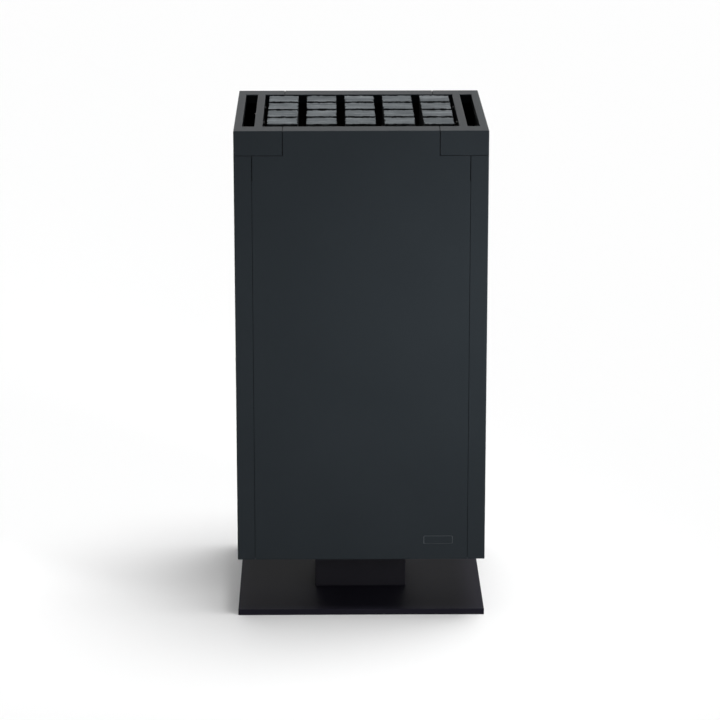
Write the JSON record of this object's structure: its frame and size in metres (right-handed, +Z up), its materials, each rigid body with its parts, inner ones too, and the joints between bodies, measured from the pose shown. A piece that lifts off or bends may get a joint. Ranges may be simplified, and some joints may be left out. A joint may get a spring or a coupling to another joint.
{
  "type": "sauna heater",
  "caption": "Free-standing electric sauna heater: anthracite sheet-metal tower with a grid of cut stones in its open top, side air slots, and a pedestal on a flat base plate.",
  "frame": {"origin": "centre of the base plate underside, on the floor", "axes": "X to the right seen from the front, Y to the rear (the front panel faces -Y), Z up"},
  "size_m": [0.41, 0.3753, 0.821],
  "materials": {
    "anthracite_coating": "fine-textured matt anthracite powder coat on 1.5 mm steel sheet",
    "base_coating": "matt black powder coat on steel plate",
    "pedestal_coating": "matt black powder coat",
    "zinc_fasteners": "bright zinc plating",
    "black_fasteners": "black coated screw",
    "rubber": "black heat-resistant rubber",
    "frame_coating": "matt black powder coat on folded sheet",
    "galvanised_frame": "galvanised steel sheet",
    "badge": "satin plain metal badge, blank",
    "stainless": "heat-tinted stainless sheet",
    "aluminised": "aluminised steel sheet",
    "rack_steel": "dark hot-rolled steel",
    "cut_stone": "sawn grey soapstone, matt, fine streaks",
    "element_tube": "heat-browned element sheath",
    "ceramic": "unglazed steatite",
    "copper_link": "plain copper strip",
    "gland_plastic": "black nylon"
  },
  "bodies": {
    "heater": {"base_plate": "base_coating", "pedestal_column": "pedestal_coating", "pedestal_flanges": "pedestal_coating", "base_screws": "zinc_fasteners", "pedestal_bolts": "zinc_fasteners", "element_nuts": "zinc_fasteners", "side_panel_screws": "black_fasteners", "top_frame_screws": "black_fasteners", "cable_grommet": "rubber", "floor_pan": "galvanised_frame", "terminal_housing": "galvanised_frame", "front_left_post": "frame_coating", "front_right_post": "frame_coating", "rear_left_post": "frame_coating", "rear_right_post": "frame_coating", "upper_frame": "frame_coating", "left_side_panel": "anthracite_coating", "right_side_panel": "anthracite_coating", "front_panel": "anthracite_coating", "rear_panel": "anthracite_coating", "left_top_frame": "anthracite_coating", "right_top_frame": "anthracite_coating", "name_badge": "badge", "chamber_liner": "stainless", "element_plate": "stainless", "left_heat_shield": "aluminised", "right_heat_shield": "aluminised", "front_heat_shield": "aluminised", "rear_heat_shield": "aluminised", "radiation_shield": "aluminised", "rack_rails": "rack_steel", "stone_rack": "rack_steel", "stone_rods": "rack_steel", "lower_stones": "cut_stone", "front_element": "element_tube", "middle_element": "element_tube", "rear_element": "element_tube", "terminal_block": "ceramic", "star_link": "copper_link", "cable_gland": "gland_plastic"},
    "stone_a1": {"top_stone_a1": "cut_stone"},
    "stone_a2": {"top_stone_a2": "cut_stone"},
    "stone_a3": {"top_stone_a3": "cut_stone"},
    "stone_a4": {"top_stone_a4": "cut_stone"},
    "stone_a5": {"top_stone_a5": "cut_stone"},
    "stone_b1": {"top_stone_b1": "cut_stone"},
    "stone_b2": {"top_stone_b2": "cut_stone"},
    "stone_b3": {"top_stone_b3": "cut_stone"},
    "stone_b4": {"top_stone_b4": "cut_stone"},
    "stone_b5": {"top_stone_b5": "cut_stone"},
    "stone_c1": {"top_stone_c1": "cut_stone"},
    "stone_c2": {"top_stone_c2": "cut_stone"},
    "stone_c3": {"top_stone_c3": "cut_stone"},
    "stone_c4": {"top_stone_c4": "cut_stone"},
    "stone_c5": {"top_stone_c5": "cut_stone"},
    "stone_d1": {"top_stone_d1": "cut_stone"},
    "stone_d2": {"top_stone_d2": "cut_stone"},
    "stone_d3": {"top_stone_d3": "cut_stone"},
    "stone_d4": {"top_stone_d4": "cut_stone"},
    "stone_d5": {"top_stone_d5": "cut_stone"}
  },
  "joints": [
    {"name": "stone_a1_lift", "type": "slide", "parent": "heater", "child": "stone_a1", "axis": [0, 0, 1], "range_m": [0, 0.125]},
    {"name": "stone_a2_lift", "type": "slide", "parent": "heater", "child": "stone_a2", "axis": [0, 0, 1], "range_m": [0, 0.125]},
    {"name": "stone_a3_lift", "type": "slide", "parent": "heater", "child": "stone_a3", "axis": [0, 0, 1], "range_m": [0, 0.125]},
    {"name": "stone_a4_lift", "type": "slide", "parent": "heater", "child": "stone_a4", "axis": [0, 0, 1], "range_m": [0, 0.125]},
    {"name": "stone_a5_lift", "type": "slide", "parent": "heater", "child": "stone_a5", "axis": [0, 0, 1], "range_m": [0, 0.125]},
    {"name": "stone_b1_lift", "type": "slide", "parent": "heater", "child": "stone_b1", "axis": [0, 0, 1], "range_m": [0, 0.125]},
    {"name": "stone_b2_lift", "type": "slide", "parent": "heater", "child": "stone_b2", "axis": [0, 0, 1], "range_m": [0, 0.125]},
    {"name": "stone_b3_lift", "type": "slide", "parent": "heater", "child": "stone_b3", "axis": [0, 0, 1], "range_m": [0, 0.125]},
    {"name": "stone_b4_lift", "type": "slide", "parent": "heater", "child": "stone_b4", "axis": [0, 0, 1], "range_m": [0, 0.125]},
    {"name": "stone_b5_lift", "type": "slide", "parent": "heater", "child": "stone_b5", "axis": [0, 0, 1], "range_m": [0, 0.125]},
    {"name": "stone_c1_lift", "type": "slide", "parent": "heater", "child": "stone_c1", "axis": [0, 0, 1], "range_m": [0, 0.125]},
    {"name": "stone_c2_lift", "type": "slide", "parent": "heater", "child": "stone_c2", "axis": [0, 0, 1], "range_m": [0, 0.125]},
    {"name": "stone_c3_lift", "type": "slide", "parent": "heater", "child": "stone_c3", "axis": [0, 0, 1], "range_m": [0, 0.125]},
    {"name": "stone_c4_lift", "type": "slide", "parent": "heater", "child": "stone_c4", "axis": [0, 0, 1], "range_m": [0, 0.125]},
    {"name": "stone_c5_lift", "type": "slide", "parent": "heater", "child": "stone_c5", "axis": [0, 0, 1], "range_m": [0, 0.125]},
    {"name": "stone_d1_lift", "type": "slide", "parent": "heater", "child": "stone_d1", "axis": [0, 0, 1], "range_m": [0, 0.125]},
    {"name": "stone_d2_lift", "type": "slide", "parent": "heater", "child": "stone_d2", "axis": [0, 0, 1], "range_m": [0, 0.125]},
    {"name": "stone_d3_lift", "type": "slide", "parent": "heater", "child": "stone_d3", "axis": [0, 0, 1], "range_m": [0, 0.125]},
    {"name": "stone_d4_lift", "type": "slide", "parent": "heater", "child": "stone_d4", "axis": [0, 0, 1], "range_m": [0, 0.125]},
    {"name": "stone_d5_lift", "type": "slide", "parent": "heater", "child": "stone_d5", "axis": [0, 0, 1], "range_m": [0, 0.125]}
  ]
}
